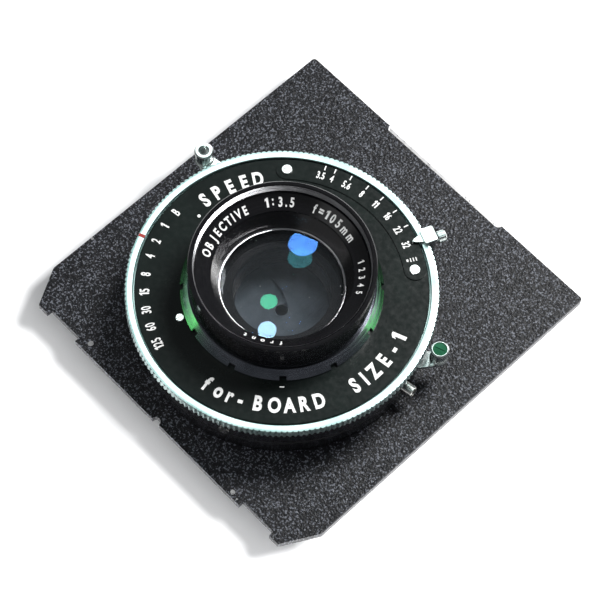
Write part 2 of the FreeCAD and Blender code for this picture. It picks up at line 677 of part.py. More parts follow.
def faceplate():
    outline = [(LOCK_THREAD_R + 0.05, FACE_BOTTOM), (FACE_R, FACE_BOTTOM), (FACE_R, FACE_TOP - 0.25),
               (FACE_R - 0.25, FACE_TOP), (LOCK_THREAD_R + 0.05, FACE_TOP)]
    plate = turned(outline)
    plate = plate.cut(rod(0.6, FACE_BOTTOM - 1, FACE_TOP + 1, polar(25.7, 244.8)))
    for at in scale_screw_places():
        plate = plate.cut(rod(0.6, FACE_BOTTOM - 1, FACE_TOP + 1, at))
    return plate


def scale_screw_places():
    return [polar(32.4, 134.4), polar(32.4, 55.2)]


def aperture_scale():
    """Raised arc plate for the aperture figures, held by a screw at each end."""
    plate = arc_slot(32.55, 5.4, 55.2, 134.4, FACE_TOP, SCALE_TOP)
    plate = plate.common(rod(FACE_R - 0.3, 16, 18))
    for at in scale_screw_places():
        plate = plate.cut(rod(0.62, 16, 18, at))
    return plate


def slotted_screw(at, head_r, head_low, head_high, shank_r, shank_low, slot_turn):
    head = rod(head_r, head_low, head_high, at)
    head = head.makeChamfer(0.12, [edge for edge in head.Edges
                                   if edge.Closed and edge.BoundBox.ZMin > head_high - 0.01])
    slot = bar(at - polar(head_r + 1, slot_turn), at + polar(head_r + 1, slot_turn), 0.34,
               head_high - 0.22, head_high + 1)
    return head.fuse(rod(shank_r, shank_low, head_low, at)).cut(slot).removeSplitter()


def scale_screws():
    turns = (40, 115)
    return [slotted_screw(at, 1.3, SCALE_TOP, SCALE_TOP + 0.4, 0.6, FACE_BOTTOM, turn)
            for at, turn in zip(scale_screw_places(), turns)]


def lock_screw():
    return slotted_screw(polar(25.7, 244.8), 1.0, FACE_TOP, FACE_TOP + 0.35, 0.6, FACE_BOTTOM, 80)


def lock_ring():
    """Conical ring nut that holds the faceplate, with spanner notches in its skirt."""
    bore = LOCK_THREAD_R + 0.05
    ring = turned([(bore, FACE_TOP), (LOCK_RING_R, FACE_TOP), (LOCK_RING_R, FACE_TOP + 0.4),
                   (LOCK_RING_TOP_R, LOCK_RING_TOP), (bore, LOCK_RING_TOP)])
    step = 360.0 / LOCK_NOTCHES
    for notch in range(LOCK_NOTCHES):
        box = Part.makeBox(2.0, 1.7, 4.0, V(LOCK_RING_R - 0.75, -0.85, 16))
        ring = ring.cut(spun(box, LOCK_NOTCH_FIRST + notch * step))
    return ring


# ---------------------------------------------------------------- lens cells
def sagitta(radius, height):
    return abs(radius) - math.sqrt(radius * radius - height * height)


def lens_element(edge_r, front_vertex, front_radius, rear_vertex, rear_radius):
    """Glass with spherical faces. A positive radius bulges out of the lens, a negative one is hollow."""
    front_edge = front_vertex - math.copysign(sagitta(front_radius, edge_r), front_radius)
    rear_edge = rear_vertex + math.copysign(sagitta(rear_radius, edge_r), rear_radius)
    half = edge_r / 2
    front_mid = front_vertex - math.copysign(sagitta(front_radius, half), front_radius)
    rear_mid = rear_vertex + math.copysign(sagitta(rear_radius, half), rear_radius)
    front = Part.Arc(V(0, 0, front_vertex), V(half, 0, front_mid), V(edge_r, 0, front_edge)).toShape()
    edge = Part.makeLine(V(edge_r, 0, front_edge), V(edge_r, 0, rear_edge))
    rear = Part.Arc(V(edge_r, 0, rear_edge), V(half, 0, rear_mid), V(0, 0, rear_vertex)).toShape()
    axis = Part.makeLine(V(0, 0, rear_vertex), V(0, 0, front_vertex))
    outline = Part.Wire([front, edge, rear, axis])
    return Part.Face(outline).revolve(V(0, 0, 0), Z_AXIS, 360)


def front_barrel():
    outline = [(13.2, 7.4), (15.9, 7.4), (15.9, 9.0), (FRONT_BORE_R - 0.02, 9.0),
               (FRONT_BORE_R - 0.02, BARREL_SEAT - 0.05), (BARREL_R - 0.2, BARREL_SEAT - 0.05),
               (BARREL_R, BARREL_SEAT + 0.15), (BARREL_R, 27.9), (BARREL_RIM_R, 28.1),
               (BARREL_RIM_R, BARREL_TOP - 0.25), (BARREL_RIM_R - 0.25, BARREL_TOP)]
    outline += [(FILTER_R + FILTER_CHAMFER, BARREL_TOP), (FILTER_R, BARREL_TOP - FILTER_CHAMFER),
                (FILTER_R, BARREL_TOP - FILTER_DEEP)]
    outline += [(NAME_SEAT_R, BARREL_TOP - FILTER_DEEP), (NAME_SEAT_R, 24.0), (18.5, 24.0), (18.5, 16.9),
                (15.65, 16.9), (15.65, 15.0), (12.0, 15.0), (12.0, 13.4), (12.3, 13.4), (12.3, 8.9),
                (13.2, 8.9)]
    return turned(outline)


def name_ring():
    """Ring that holds the front glass, its face lettered and its throat finely grooved."""
    outer = NAME_SEAT_R - 0.05
    outline = [(18.45, 16.95), (18.45, 24.05), (outer, 24.05), (outer, 26.4), (17.1, 24.2)]
    grooves = 12
    for groove in range(grooves):
        share = groove / grooves
        radius = 17.0 - 1.75 * share
        height = 24.0 - 5.5 * share
        outline += [(radius, height), (radius - 0.02, height - 0.28), (radius + 0.13, height - 0.34)]
    outline += [(15.25, 18.35), (15.7, 18.35), (15.7, 16.95)]
    return turned(outline)


def inner_retainer():
    return turned([(11.5, 7.4), (13.2, 7.4), (13.2, 8.85), (12.32, 8.85), (12.32, 7.8), (11.5, 7.8)])


def rear_barrel():
    outline = [(15.4, 2.3), (REAR_BORE_R - 0.02, 2.3), (REAR_BORE_R - 0.02, REAR_TUBE_END),
               (19.4, REAR_TUBE_END), (19.4, -6.2), (REAR_BARREL_R, -6.4), (REAR_BARREL_R, REAR_END + 0.4),
               (REAR_BARREL_R - 0.4, REAR_END), (17.2, REAR_END), (15.2, -9.4), (15.2, -7.3), (13.25, -7.3),
               (13.25, -0.55), (12.9, -0.55), (12.9, 0.2)]
    return turned(outline)


def rear_retainer():
    return turned([(12.6, -7.55), (15.18, -7.55), (15.18, -9.3), (14.0, -9.3), (12.6, -8.2)])


# ---------------------------------------------------------------- sockets and side screw
def sync_socket():
    sleeve = radial_rod(SOCKET_R, SOCKET_SHOULDER, 39.4, SOCKET_ANGLE, SOCKET_Z)
    sleeve = sleeve.makeChamfer(0.2, [edge for edge in sleeve.Edges if edge.Closed][:1])
    sleeve = sleeve.fuse(radial_rod(SOCKET_STEM_R, 34.95, SOCKET_SHOULDER, SOCKET_ANGLE, SOCKET_Z))
    sleeve = sleeve.cut(radial_rod(1.1, SOCKET_FLOOR, 40, SOCKET_ANGLE, SOCKET_Z))
    return sleeve.cut(radial_rod(0.8, 34.5, SOCKET_FLOOR, SOCKET_ANGLE, SOCKET_Z))


def sync_insulator():
    body = radial_rod(0.8, 34.95, SOCKET_FLOOR, SOCKET_ANGLE, SOCKET_Z)
    return body.cut(radial_rod(0.4, 34, 40, SOCKET_ANGLE, SOCKET_Z))


def sync_pin():
    return radial_rod(0.4, 34.95, 38.9, SOCKET_ANGLE, SOCKET_Z)


def cable_release_socket():
    body = radial_rod(2.5, 34.1, 37.6, CABLE_ANGLE, CABLE_Z)
    body = body.cut(radial_rod(1.75, 34.6, 38, CABLE_ANGLE, CABLE_Z))
    return body.cut(radial_rod(0.8, 33, 35, CABLE_ANGLE, CABLE_Z))


def side_screw():
    head = radial_rod(1.3, HOUSING_R - 0.02, HOUSING_R + 0.55, SIDE_SCREW_ANGLE, SIDE_SCREW_Z)
    shank = radial_rod(0.6, 34.95, HOUSING_R, SIDE_SCREW_ANGLE, SIDE_SCREW_Z)
    return head.cut(rod(HOUSING_R, 5, 14)).fuse(shank).removeSplitter()


# ---------------------------------------------------------------- write every piece
os.makedirs("parts", exist_ok=True)

export("lens_board", lens_board())
export("mounting_ring", mounting_ring())
export("shutter_housing", shutter_housing())
export("iris_post_plate", iris_post_plate())
for number in range(IRIS_BLADES):
    export("iris_blade_" + str(number + 1), iris_blade(number))
lever_body, lever_rivet = aperture_lever()
export("iris_ring", iris_ring().cut(lever_rivet))
export("aperture_lever", lever_body.fuse(lever_rivet).removeSplitter())
export("aperture_knob", aperture_knob())
export("shutter_post_plate", shutter_post_plate())
for number in range(SHUTTER_BLADES):
    export("shutter_blade_" + str(number + 1), shutter_blade(number))
export("blade_drive_ring", blade_drive_ring())
export("mechanism_plate", mechanism_plate())
export("plate_screws", Part.makeCompound(plate_screws()))
export("cocking_lever", cocking_lever())
export("cocking_knob", cocking_knob())
export("mainspring", mainspring())
export("release_lever", release_lever())
export("release_knob", release_knob())
export("release_cap", release_cap())
export("release_spring", release_spring())
export("retard_wheel", retard_wheel())
export("star_wheel", star_wheel())
export("pallet", pallet())
export("retard_bridge", retard_bridge())
export("bridge_screws", Part.makeCompound(bridge_screws()))
export("click_spring", click_spring())
export("speed_ring", speed_ring())
export("faceplate", faceplate())
export("aperture_scale", aperture_scale())
export("scale_screws", Part.makeCompound(scale_screws()))
export("lock_ring", lock_ring())
export("lock_screw", lock_screw())
export("front_barrel", front_barrel())
export("name_ring", name_ring())
export("front_element", lens_element(15.6, 20.2, 62.0, 15.0, 4000.0))
export("second_element", lens_element(12.25, 12.0, -57.0, 10.2, -33.0))
export("inner_retainer", inner_retainer())
export("rear_barrel", rear_barrel())
export("rear_flint_element", lens_element(13.2, -1.2, -150.0, -3.0, -33.0))
export("rear_crown_element", lens_element(13.2, -3.0, 33.0, -9.2, 46.0))
export("rear_retainer", rear_retainer())
export("sync_socket", sync_socket())
export("sync_insulator", sync_insulator())
export("sync_pin", sync_pin())
export("cable_release_socket", cable_release_socket())
export("side_screw", side_screw())
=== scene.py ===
"""A large-format lens in a number 1 leaf shutter on a square lens board, on a white table."""
import json
import math
import random

import bmesh
import bpy
from mathutils import Matrix, Vector


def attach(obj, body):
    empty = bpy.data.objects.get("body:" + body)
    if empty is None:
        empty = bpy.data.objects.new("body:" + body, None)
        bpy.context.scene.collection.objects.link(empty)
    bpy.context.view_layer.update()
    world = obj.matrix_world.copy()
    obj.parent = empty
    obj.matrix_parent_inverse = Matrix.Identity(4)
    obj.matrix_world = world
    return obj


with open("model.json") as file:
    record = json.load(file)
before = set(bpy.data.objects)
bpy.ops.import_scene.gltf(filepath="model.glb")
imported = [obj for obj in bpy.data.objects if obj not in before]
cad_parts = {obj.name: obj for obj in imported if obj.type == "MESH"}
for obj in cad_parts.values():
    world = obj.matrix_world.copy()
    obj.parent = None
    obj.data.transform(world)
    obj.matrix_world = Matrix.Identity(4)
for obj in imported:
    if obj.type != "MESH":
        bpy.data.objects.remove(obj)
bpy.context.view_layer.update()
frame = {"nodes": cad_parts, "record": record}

MM = 0.001
FACE_TOP = 16.75             # faces that carry lettering, mm above the board's back
SCALE_TOP = 17.0
SPEED_RING_TOP = 17.1
NAME_OUTER = (20.7, 26.4)    # radius and height at the rim of the name ring's sloping face
NAME_INNER = (17.1, 24.2)
FLOOR_Z = -12.0              # the rear cell stands on the table
SPEED_FIGURES_R = 33.1       # radius of the middle of each row of lettering
WORDS_R = 30.6
APERTURE_FIGURES_R = 32.35
APERTURE_TICKS_R = 34.55
HOUSING_WALL_R = 36.38
FRONT_VERTEX, FRONT_CURVE = 20.2, 62.0       # front glass: height of its middle, radius of curvature
HOLLOW_CURVE = 120.0                         # curvature of the coated surfaces inside the lens
LIP_R, LIP_Z, LIP_HALF = 15.2, 18.35, 0.5    # rounded lip round the front glass
KEY = (88, 52)                               # azimuth and elevation of the main light, degrees
random.seed(7)

scene = bpy.context.scene
scene.view_settings.view_transform = "Standard"
scene.view_settings.look = "None"
scene.cycles.transparent_max_bounces = 32      # the lens has more coated surfaces than the usual limit

# ---------------------------------------------------------------- camera
CAMERA_AT = Vector((0.17291, -0.17046, 0.50745))
CAMERA_RIGHT = Vector((0.69003, 0.72358, 0.01698))
CAMERA_UP = Vector((-0.65547, 0.61478, 0.43864))
camera_data = bpy.data.cameras.new("camera")
camera_data.lens = 136.7
camera_data.sensor_width = 36.0
camera = bpy.data.objects.new("camera", camera_data)
scene.collection.objects.link(camera)
back = CAMERA_RIGHT.cross(CAMERA_UP).normalized()
side = CAMERA_UP.cross(back).normalized()
top = back.cross(side)
camera.matrix_world = Matrix.Translation(CAMERA_AT) @ Matrix((side, top, back)).transposed().to_4x4()
scene.camera = camera


# ---------------------------------------------------------------- materials
class Look:
    """A procedural material. Sizes are in mm, in the object's own space."""

    def __init__(self, name, metallic=0.0, specular=0.5, coat=0.0):
        self.material = bpy.data.materials.new(name)
        self.material.use_nodes = True
        self.tree = self.material.node_tree
        self.shader = self.tree.nodes["Principled BSDF"]
        self.shader.inputs["Metallic"].default_value = metallic
        self.shader.inputs["Specular IOR Level"].default_value = specular
        self.shader.inputs["Coat Weight"].default_value = coat
        self.space = self.node("ShaderNodeTexCoord").outputs["Object"]
        self.split = None

    def node(self, kind, **settings):
        made = self.tree.nodes.new(kind)
        for key, value in settings.items():
            setattr(made, key, value)
        return made

    def put(self, socket, value):
        if hasattr(value, "is_output"):
            self.tree.links.new(value, socket)
        else:
            socket.default_value = value

    def calc(self, operation, a, b=0.0, c=0.0, clamp=False):
        made = self.node("ShaderNodeMath", operation=operation, use_clamp=clamp)
        for socket, value in zip(made.inputs, (a, b, c)):
            self.put(socket, value)
        return made.outputs[0]

    def axis(self, name):
        """x, y or z of the point, in mm."""
        if self.split is None:
            self.split = self.node("ShaderNodeSeparateXYZ")
            self.put(self.split.inputs[0], self.space)
        return self.calc("MULTIPLY", self.split.outputs[name], 1000.0)

    def radius(self):
        x, y = self.axis("X"), self.axis("Y")
        return self.calc("SQRT", self.calc("ADD", self.calc("MULTIPLY", x, x), self.calc("MULTIPLY", y, y)))

    def turned_space(self, along=0.02):
        """Coordinates that stretch a texture round the optical axis, like marks left by a lathe."""
        join = self.node("ShaderNodeCombineXYZ")
        angle = self.calc("ARCTAN2", self.axis("Y"), self.axis("X"))
        self.put(join.inputs[0], self.calc("MULTIPLY", self.radius(), 0.001))
        self.put(join.inputs[1], self.calc("MULTIPLY", angle, along * 0.01))
        self.put(join.inputs[2], self.split.outputs["Z"])
        return join.outputs[0]

    def noise(self, size, detail=3.0, rough=0.5, space=None, stretch=None):
        made = self.node("ShaderNodeTexNoise")
        where = space or self.space
        if stretch:
            mapping = self.node("ShaderNodeMapping")
            self.put(mapping.inputs["Vector"], where)
            mapping.inputs["Scale"].default_value = stretch
            where = mapping.outputs[0]
        self.put(made.inputs["Vector"], where)
        made.inputs["Scale"].default_value = 1000.0 / size
        made.inputs["Detail"].default_value = detail
        made.inputs["Roughness"].default_value = rough
        return made.outputs[0]

    def cells(self, size, feature="F1"):
        made = self.node("ShaderNodeTexVoronoi", feature=feature)
        self.put(made.inputs["Vector"], self.space)
        made.inputs["Scale"].default_value = 1000.0 / size
        return made

    def span(self, value, low, high, to_low=0.0, to_high=1.0):
        made = self.node("ShaderNodeMapRange")
        for socket, number in zip(made.inputs, (value, low, high, to_low, to_high)):
            self.put(socket, number)
        return made.outputs[0]

    def within(self, value, low, high, soft):
        """1 between low and high, fading to 0 over soft."""
        up = self.span(value, low - soft, low + soft)
        down = self.span(value, high - soft, high + soft, 1.0, 0.0)
        return self.calc("MULTIPLY", up, down)

    def blend(self, share, first, second):
        made = self.node("ShaderNodeMix", data_type="RGBA")
        self.put(made.inputs[0], share)
        for socket, value in ((made.inputs[6], first), (made.inputs[7], second)):
            self.put(socket, value if hasattr(value, "is_output") else (*value, 1.0))
        return made.outputs[2]

    def specks(self, cell, radius, share):
        """Small round specks, one in some of the cells."""
        field = self.cells(cell)
        colour = self.node("ShaderNodeSeparateXYZ")
        self.put(colour.inputs[0], field.outputs["Color"])
        chosen = self.calc("LESS_THAN", colour.outputs[0], share)
        size = self.calc("MULTIPLY", colour.outputs[1], radius / cell)
        return self.calc("MULTIPLY", chosen, self.calc("LESS_THAN", field.outputs["Distance"], size))

    def colour(self, value):
        self.put(self.shader.inputs["Base Color"], value if hasattr(value, "is_output") else (*value, 1.0))

    def roughness(self, value):
        self.put(self.shader.inputs["Roughness"], value)

    def bump(self, height, depth, strength=1.0):
        made = self.node("ShaderNodeBump")
        made.inputs["Strength"].default_value = strength
        made.inputs["Distance"].default_value = depth * MM
        self.put(made.inputs["Height"], height)
        previous = getattr(self, "last_bump", None)
        if previous:
            self.put(made.inputs["Normal"], previous)
        self.last_bump = made.outputs[0]
        self.put(self.shader.inputs["Normal"], made.outputs[0])


def wrinkle_paint():
    """Crackled black paint on the board, bare metal in the latch rebate and at a few worn spots, with painted
    glints on the crackle and a painted highlight along one edge.
    """
    look = Look("wrinkle_paint")
    coarse = look.noise(0.62, 2.0, 0.7)
    fine = look.noise(0.3, 2.0, 0.5)
    cells = look.cells(0.55, "SMOOTH_F1").outputs["Distance"]
    height = look.calc("ADD", look.calc("MULTIPLY", coarse, 1.5), look.calc("MULTIPLY", cells, 0.7))
    height = look.calc("ADD", height, look.calc("MULTIPLY", fine, 0.5))
    x, y, z = look.axis("X"), look.axis("Y"), look.axis("Z")
    rebate = look.calc("MULTIPLY", look.within(x, -20.1, 20.1, 0.05), look.within(y, 56.02, 60.0, 0.03))
    rebate = look.calc("MULTIPLY", rebate, look.calc("LESS_THAN", z, 1.9))
    chip_noise = look.noise(1.6, 3.0, 0.6)
    worn = 0.0
    for cx, cy, size in ((26.0, -40.6, 0.75), (-26.2, -39.4, 0.8), (28.0, -41.0, 0.35), (-47.6, -20.0, 0.4)):
        dx, dy = look.calc("SUBTRACT", x, cx), look.calc("SUBTRACT", y, cy)
        squares = look.calc("ADD", look.calc("MULTIPLY", dx, dx), look.calc("MULTIPLY", dy, dy))
        away = look.calc("ADD", look.calc("SQRT", squares), look.calc("MULTIPLY", chip_noise, 0.9))
        worn = look.calc("MAXIMUM", worn, look.calc("LESS_THAN", away, size + 0.35))
    bare = look.calc("MAXIMUM", rebate, worn)
    tone = look.span(look.noise(14.0, 3.0), 0.35, 0.7, 0.0, 1.0)
    paint = look.blend(tone, (0.003, 0.0035, 0.006), (0.006, 0.007, 0.011))
    # Painted glints: light grey flecks in the paint's colour stand in for light catching the crackle's bumps.
    painted_glint = look.span(look.noise(0.45, 2.0, 0.6), 0.55, 0.64)
    paint = look.blend(painted_glint, paint, (0.34, 0.36, 0.42))
    # Painted highlight: the board's edge beyond x = 47.75 mm is made lighter, standing in for light catching
    # that edge.
    painted_edge_highlight = look.calc("GREATER_THAN", x, 47.75)
    painted_edge_highlight = look.calc("MULTIPLY", painted_edge_highlight, look.span(look.noise(2.5, 4.0, 0.7), 0.3, 0.5, 0.3, 1.0))
    paint = look.blend(painted_edge_highlight, paint, (0.16, 0.16, 0.17))
    brushed = look.noise(0.5, 4.0, 0.6, stretch=(0.1, 1.0, 1.0))
    metal = look.blend(brushed, (0.7, 0.7, 0.7), (0.95, 0.95, 0.95))
    look.colour(look.blend(bare, paint, metal))
    look.put(look.shader.inputs["Metallic"], bare)
    satin = look.span(look.noise(0.7, 2.0), 0.3, 0.7, 0.26, 0.46)
    look.roughness(satin)
    look.bump(look.calc("MULTIPLY", height, look.calc("SUBTRACT", 1.0, bare)), 0.13, 0.9)
    return look.material


def enamel(name, colour, rough, dust=0.25, tint=None, metallic=0.0, specular=0.5):
    """Smooth sprayed or anodised black with dust and faint handling marks."""
    look = Look(name, metallic=metallic, specular=specular)
    spots = look.specks(2.2, 0.09, dust)
    smear = look.span(look.noise(9.0, 4.0, 0.6), 0.4, 0.75)
    base = look.blend(smear, colour, tint or tuple(1.5 * value for value in colour))
    look.colour(look.blend(spots, base, (0.22, 0.23, 0.22)))
    grain = look.noise(1.3, 4.0, 0.6)
    look.roughness(look.span(grain, 0.3, 0.7, rough * 0.8, rough * 1.25))
    look.bump(look.noise(0.3, 2.0), 0.004, 0.5)
    look.bump(look.noise(2.6, 2.0), 0.02, 0.35)
    return look.material


def anodised():
    """Black anodised aluminium turned on a lathe, with faint lathe rings and a few grey specks."""
    look = Look("anodised_black", specular=0.55)
    turned = look.turned_space()
    lathe = look.noise(0.22, 3.0, 0.6, space=turned)
    spots = look.specks(1.8, 0.08, 0.2)
    base = look.blend(look.span(lathe, 0.4, 0.75), (0.004, 0.004, 0.005), (0.010, 0.010, 0.012))
    look.colour(look.blend(spots, base, (0.2, 0.2, 0.2)))
    look.roughness(look.span(look.noise(1.1, 3.0), 0.3, 0.7, 0.11, 0.18))
    look.bump(lathe, 0.004, 0.5)
    return look.material


def plated(name, light, dark, rough, grain=0.5, turned=False, scratches=0.4, spots=0.15, relief=1.0):
    """Bright or satin metal with fine grain, hairline scratches and a few dull specks."""
    look = Look(name, metallic=1.0)
    where = look.turned_space() if turned else None
    fine = look.noise(grain, 4.0, 0.6, space=where)
    cloud = look.noise(5.0, 3.0)
    hair = look.noise(0.35, 2.0, 0.5, stretch=(1.0, 0.06, 1.0))
    worn = look.specks(1.1, 0.1, spots)
    base = look.blend(look.span(cloud, 0.35, 0.65), dark, light)
    scored = look.calc("MULTIPLY", look.span(hair, 0.62, 0.7), scratches)
    base = look.blend(scored, base, tuple(0.6 * value for value in dark))
    look.colour(look.blend(worn, base, tuple(0.35 * value for value in dark)))
    look.roughness(look.span(fine, 0.3, 0.7, rough * 0.75, rough * 1.3))
    look.bump(fine, 0.012 * relief, 0.35)
    look.bump(hair, 0.006 * relief, 0.25)
    return look.material


def cone_metal():
    """The lock ring: hard black chrome with a navy tone that mirrors its surroundings."""
    look = Look("black_chrome", metallic=1.0)
    turned = look.turned_space()
    tone = look.blend(look.span(look.noise(6.0, 3.0), 0.35, 0.7), (0.12, 0.13, 0.155), (0.19, 0.2, 0.235))
    look.colour(look.blend(look.specks(1.4, 0.1, 0.35), tone, (0.5, 0.5, 0.52)))
    look.roughness(look.span(look.noise(0.3, 3.0, space=turned), 0.3, 0.7, 0.12, 0.24))
    look.bump(look.noise(0.16, 3.0, space=turned), 0.01, 0.35)
    return look.material


def glass(name, dust, tint):
    """Coated optical glass that lets lamps through, with dust on it."""
    look = Look(name, specular=0.5)
    shader = look.shader
    shader.inputs["Transmission Weight"].default_value = 1.0
    shader.inputs["IOR"].default_value = 1.52
    film = look.span(look.noise(12.0, 3.0), 0.35, 0.7)
    look.colour(look.blend(film, (0.97, 0.98, 0.97), tint))
    look.roughness(look.span(look.noise(4.0, 3.0), 0.3, 0.7, 0.012, 0.03))
    clear = look.node("ShaderNodeBsdfTransparent")
    path = look.node("ShaderNodeLightPath")
    shadow = look.node("ShaderNodeMixShader")
    look.put(shadow.inputs[0], path.outputs["Is Shadow Ray"])
    look.put(shadow.inputs[1], shader.outputs[0])
    look.put(shadow.inputs[2], clear.outputs[0])
    mote = look.node("ShaderNodeBsdfDiffuse")
    look.put(mote.inputs[0], look.blend(look.noise(2.0), (0.5, 0.52, 0.5), (0.9, 0.9, 0.9)))
    dusty = look.node("ShaderNodeMixShader")
    seen = look.calc("ADD", look.specks(1.9, 0.16, dust), look.specks(0.6, 0.03, dust * 0.8), clamp=True)
    look.put(dusty.inputs[0], look.calc("MULTIPLY", seen, 0.6))
    look.put(dusty.inputs[1], shadow.outputs[0])
    look.put(dusty.inputs[2], mote.outputs[0])
    look.put(look.tree.nodes["Material Output"].inputs[0], dusty.outputs[0])
    return look.material


def coating(name, share):
    """Clear coated glass seen straight through, with a weak sharp mirror image and dust."""
    look = Look(name, metallic=1.0)
    dust = look.calc("ADD", look.specks(1.9, 0.16, share), look.specks(0.6, 0.035, share), clamp=True)
    film = look.blend(look.span(look.noise(9.0, 3.0), 0.35, 0.7), (0.9, 0.95, 1.0), (0.8, 0.9, 0.95))
    look.colour(look.blend(dust, film, (0.75, 0.77, 0.75)))
    clean = look.span(look.noise(3.0), 0.3, 0.7, 0.01, 0.02)
    look.roughness(look.calc("ADD", look.calc("MULTIPLY", dust, 0.5), clean))
    look.put(look.shader.inputs["Alpha"], look.span(dust, 0.0, 1.0, 0.03, 0.35))
    return look.material


def paint(name, colour, dark, rough=0.45):
    """Filled engraving paint, a little uneven and dusty."""
    look = Look(name)
    patch = look.span(look.noise(0.7, 4.0, 0.6), 0.3, 0.75)
    look.colour(look.blend(patch, colour, dark))
    look.roughness(look.span(look.noise(0.4), 0.3, 0.7, rough * 0.8, rough * 1.2))
    look.bump(look.noise(0.25, 3.0), 0.01, 0.5)
    return look.material


def tabletop():
    look = Look("white_table", specular=0.2)
    look.colour(look.blend(look.noise(180.0, 3.0), (0.93, 0.93, 0.935), (0.9, 0.905, 0.91)))
    look.roughness(look.span(look.noise(40.0), 0.3, 0.7, 0.6, 0.8))
    look.bump(look.noise(1.5, 3.0), 0.02, 0.15)
    return look.material


MATERIALS = {
    "wrinkle_black": wrinkle_paint(),
    "gloss_black": enamel("gloss_enamel", (0.010, 0.010, 0.012), 0.2, 0.3),
    "faceplate_black": enamel("faceplate_enamel", (0.0085, 0.013, 0.012), 0.2, 0.22, (0.013, 0.02, 0.018)),
    "barrel_black": anodised(),
    "chrome": plated("satin_chrome", (0.72, 0.75, 0.74), (0.52, 0.56, 0.55), 0.2, relief=0.3),
    "nickel": plated("nickel", (0.72, 0.72, 0.69), (0.5, 0.5, 0.48), 0.22, relief=0.3),
    "screw_steel": plated("screw_steel", (0.95, 0.95, 0.94), (0.8, 0.8, 0.8), 0.28, scratches=0.2),
    "coated_glass": glass("coated_glass", 0.12, (0.93, 0.97, 0.98)),
    "blade_steel": plated("blade_steel", (0.075, 0.09, 0.105), (0.05, 0.062, 0.075), 0.45, 0.3),
    "plate_steel": plated("plate_steel", (0.5, 0.51, 0.5), (0.34, 0.35, 0.35), 0.36, 0.7),
    "gear_brass": plated("gear_brass", (0.83, 0.63, 0.28), (0.62, 0.43, 0.17), 0.28, 0.3),
    "spring_steel": plated("spring_steel", (0.42, 0.42, 0.45), (0.25, 0.25, 0.28), 0.25, 0.2),
    "green_cap": enamel("green_lacquer", (0.012, 0.11, 0.05), 0.14, 0.1, (0.05, 0.24, 0.13)),
    "insulator": enamel("brown_insulator", (0.09, 0.045, 0.02), 0.4, 0.1),
}
# Speed ring chrome, darker than the other chrome and tinted teal: a painted reflection of green surroundings
# on real plating.
SPEED_RING_CHROME_WITH_PAINTED_TEAL = plated("ring_chrome_painted_teal", (0.5, 0.6, 0.59), (0.36, 0.47, 0.46), 0.3, 0.5, True, 0.25, 0.25)
BLACK_CHROME = cone_metal()
COATING = coating("front_coating", 0.3)
INNER_FILM = coating("inner_coating", 0.0)
COATED_FRONT = coating("coated_front_glass", 0.15)
# Near-black dull paint for the seat: real blackening that also stands in as painted shade inside the barrel.
BLACKENING_AND_SHADE = enamel("edge_blackening_and_shade", (0.003, 0.003, 0.004), 0.6, 0.05, (0.005, 0.005, 0.006), specular=0.15)
THREAD_METAL = plated("worn_thread", (0.36, 0.36, 0.37), (0.24, 0.24, 0.25), 0.3, 0.25, True)
BEZEL = plated("bezel_metal", (0.5, 0.5, 0.52), (0.35, 0.35, 0.37), 0.2, 0.3, True)
WHITE_PAINT = paint("white_fill", (0.93, 0.93, 0.92), (0.72, 0.73, 0.72))
RED_PAINT = paint("red_fill", (0.55, 0.05, 0.04), (0.33, 0.03, 0.025))
# Metal for the painted highlight strokes on the housing's wall.
HIGHLIGHT_STROKE_METAL = plated("painted_highlight_strokes_metal", (0.6, 0.6, 0.58), (0.3, 0.3, 0.3), 0.4)

OWN_LOOK = {"speed_ring": SPEED_RING_CHROME_WITH_PAINTED_TEAL, "lock_ring": BLACK_CHROME, "front_element": COATED_FRONT,
            "second_element": COATED_FRONT}
slots = {part["node"]: part["material_slot"] for part in frame["record"]["subparts"]}
for node, thing in frame["nodes"].items():
    finish = OWN_LOOK.get(node) or MATERIALS[slots[node]]
    if not thing.material_slots:
        thing.data.materials.append(finish)
    for place in thing.material_slots:
        place.material = finish


LETTER_GAP = 0.09            # between characters of one run, at size one
CAP_HEIGHT = 0.73            # of the built-in face, at size one


# ---------------------------------------------------------------- mesh tools
def polar(radius, degrees, z=0.0):
    angle = math.radians(degrees)
    return Vector((radius * math.cos(angle), radius * math.sin(angle), z))


def piece(name, mesh_maker, finish, body):
    """One visual piece. Its maker fills a bmesh in mm."""
    bm = bmesh.new()
    mesh_maker(bm)
    bmesh.ops.remove_doubles(bm, verts=bm.verts, dist=1e-5)
    bmesh.ops.recalc_face_normals(bm, faces=bm.faces)
    bmesh.ops.scale(bm, vec=(MM, MM, MM), verts=bm.verts)
    mesh = bpy.data.meshes.new(name)
    bm.to_mesh(mesh)
    bm.free()
    thing = bpy.data.objects.new(name, mesh)
    scene.collection.objects.link(thing)
    mesh.materials.append(finish)
    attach(thing, body)
    return thing


def prism(bm, outline, place, thick):
    """A flat closed outline in the xy plane, given thickness and put in place by a matrix."""
    low = [bm.verts.new(place @ Vector((x, y, 0.0))) for x, y in outline]
    high = [bm.verts.new(place @ Vector((x, y, thick))) for x, y in outline]
    bm.faces.new(low[::-1])
    bm.faces.new(high)
    for i in range(len(outline)):
        j = (i + 1) % len(outline)
        bm.faces.new((low[i], low[j], high[j], high[i]))


def lathe(bm, profile, segments):
    """A closed profile of radius and height, turned round the optical axis."""
    rings = []
    for radius, height in profile:
        rings.append([bm.verts.new(polar(radius, 360 * i / segments, height)) for i in range(segments)])
    for k in range(len(profile)):
        lower, upper = rings[k], rings[(k + 1) % len(profile)]
        for i in range(segments):
            j = (i + 1) % segments
            bm.faces.new((lower[i], lower[j], upper[j], upper[i]))


